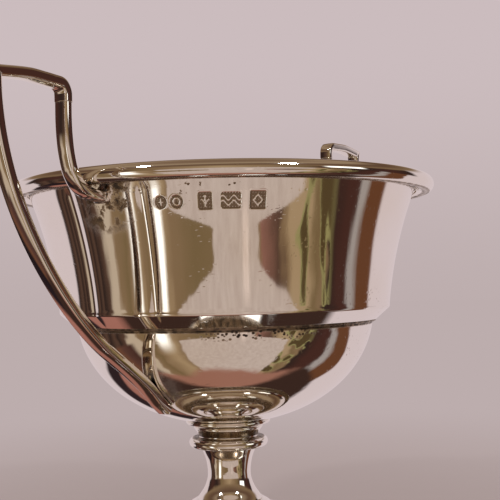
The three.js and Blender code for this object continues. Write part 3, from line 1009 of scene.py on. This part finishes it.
def make_floor():
    bm = bmesh.new()
    bmesh.ops.create_circle(bm, cap_ends=True, segments=128, radius=2.6)
    bmesh.ops.translate(bm, verts=bm.verts, vec=(0, 0, -0.00003))
    mesh = bpy.data.meshes.new("floor")
    bm.to_mesh(mesh)
    bm.free()
    floor = bpy.data.objects.new("floor", mesh)
    bpy.context.scene.collection.objects.link(floor)
    material = bpy.data.materials.new("pale_floor")
    material.use_nodes = True
    bench = Bench(material.node_tree)
    away = bench.add(
        "ShaderNodeVectorMath", {"operation": "LENGTH"}, {0: bench.place()}, out=1
    )
    grain = bench.cloud(bench.place(), 90.0, 3.0)
    tone = bench.mix(grain * 0.3, to_linear(214, 200, 200), to_linear(205, 190, 190))
    matt = bench.add("ShaderNodeBsdfPrincipled", {}, {"Base Color": tone, "Roughness": 0.75})
    far = bench.add("ShaderNodeEmission", {}, {"Color": (*PALE_LOW, 1.0), "Strength": 1.0})
    faded = away.rise(0.02, 0.26) * 0.5 + 0.5
    near = bench.add("ShaderNodeMixShader", {}, {0: faded, 1: matt, 2: far})
    # The silver sees the screens past the floor.
    glossy, shadow = (bench.add("ShaderNodeLightPath", out=i) for i in (3, 1))
    silver_sees = glossy.most(shadow)
    unseen = bench.add("ShaderNodeBsdfTransparent")
    both = bench.add("ShaderNodeMixShader", {}, {0: silver_sees, 1: near, 2: unseen})
    bench.add("ShaderNodeOutputMaterial", {}, {"Surface": both})
    mesh.materials.append(material)


def add_softbox(name, azimuth, distance, height, size, power, aim=0.06):
    """A rectangular soft light, placed by its angle from the front of the bowl."""
    lamp = bpy.data.lights.new(name, "AREA")
    lamp.shape = "RECTANGLE"
    lamp.size, lamp.size_y = size
    lamp.energy = power
    lamp.color = (1.0, 0.985, 0.965)
    holder = bpy.data.objects.new(name, lamp)
    bpy.context.scene.collection.objects.link(holder)
    angle = FRONT + math.radians(azimuth)
    place = Vector((math.cos(angle) * distance, math.sin(angle) * distance, height))
    holder.location = place
    holder.rotation_euler = (Vector((0, 0, aim)) - place).to_track_quat("-Z", "Y").to_euler()


def place_camera():
    camera = bpy.data.cameras.new("camera")
    holder = bpy.data.objects.new("camera", camera)
    bpy.context.scene.collection.objects.link(holder)
    camera.lens = 68.86
    camera.sensor_width = 36.0
    camera.clip_start = 0.01
    distance, height = 0.2162, 0.060
    aim_left, aim_up, roll = math.radians(-1.55), math.radians(2.04), math.radians(-1.4)
    holder.location = (math.cos(FRONT) * distance, math.sin(FRONT) * distance, height)
    heading = Matrix.Rotation(FRONT + math.pi / 2 + aim_left, 4, "Z")
    tilt = Matrix.Rotation(math.pi / 2 + aim_up, 4, "X")
    holder.rotation_euler = (heading @ tilt @ Matrix.Rotation(roll, 4, "Z")).to_euler()
    bpy.context.scene.camera = holder


# ---------------------------------------------------------------- the bowl, piece by piece
body = silver(
    "polished_silver_wall", crevices=((80.2, 0.9, 1.0), (51.45, 0.35, 1.0)), struck=True,
    specks=((77.9, 1.6, (-36.9, -20.3, 77.6), 18.0, 0.11),),
    pits=(((4.0, -35.0, 53.5), 11.0, 4.0),),
    stains=(((-41.5, 0.0, 77.6), 9.5, 0.85), ((41.5, 0.0, 77.6), 9.5, 0.85)),
)
cup = silver(
    "polished_silver_cup", crevices=((51.1, 0.5, 1.0),),
    specks=((50.2, 1.6, (-22.9, -23.4, 50.0), 15.0, 0.19),),
    pits=(((4.6, -32.7, 48.5), 12.0, 4.0),),
    stains=(((-28.0, 0.0, 38.5), 8.0, 0.35), ((28.0, 0.0, 38.5), 8.0, 0.35)),
)
rim = silver("polished_silver_rim", crevices=((79.25, 0.25, 0.8),), scratch=0.7)
stem = silver(
    "polished_silver_stem", polish=0.05,
    crevices=((26.15, 0.3, 0.9), (23.85, 0.4, 1.0), (12.2, 0.4, 1.0)),
)
foot = silver(
    "polished_silver_foot", polish=0.05,
    crevices=((8.5, 0.4, 0.8), (2.95, 0.3, 0.9), (1.8, 0.25, 1.0)),
)
handle = silver(
    "polished_silver_handle", crevices=((93.6, 0.10, 0.5),), polish=0.045,
    stains=(((-43.0, 0.0, 77.2), 4.5, 0.8), ((43.0, 0.0, 77.2), 4.5, 0.8)),
)
joint = silver(
    "dulled_silver_solder", crevices=((51.4, 3.0, 0.8),), polish=0.14, scratch=1.5,
    stains=(((-42.0, 0.0, 77.2), 5.0, 0.7), ((42.0, 0.0, 77.2), 5.0, 0.7)),
)

make_wall(body)
make_cup(cup)
make_seam_solder(joint)
make_rim(rim)
make_collar(stem)
make_stem(stem)
make_foot(foot)
make_foot_wire(foot)
make_joint_ring("stem_foot_solder", 7.3, STEM_LOW.z - 0.1, 0.32, joint)
make_handles(handle, joint)

make_studio()
make_floor()
add_softbox("left_softbox", -48, 0.80, 0.85, (0.10, 0.10), 2.4)
add_softbox("right_softbox", 40, 0.85, 0.86, (0.14, 0.09), 2.6)
place_camera()
bpy.context.scene.view_settings.view_transform = "Standard"
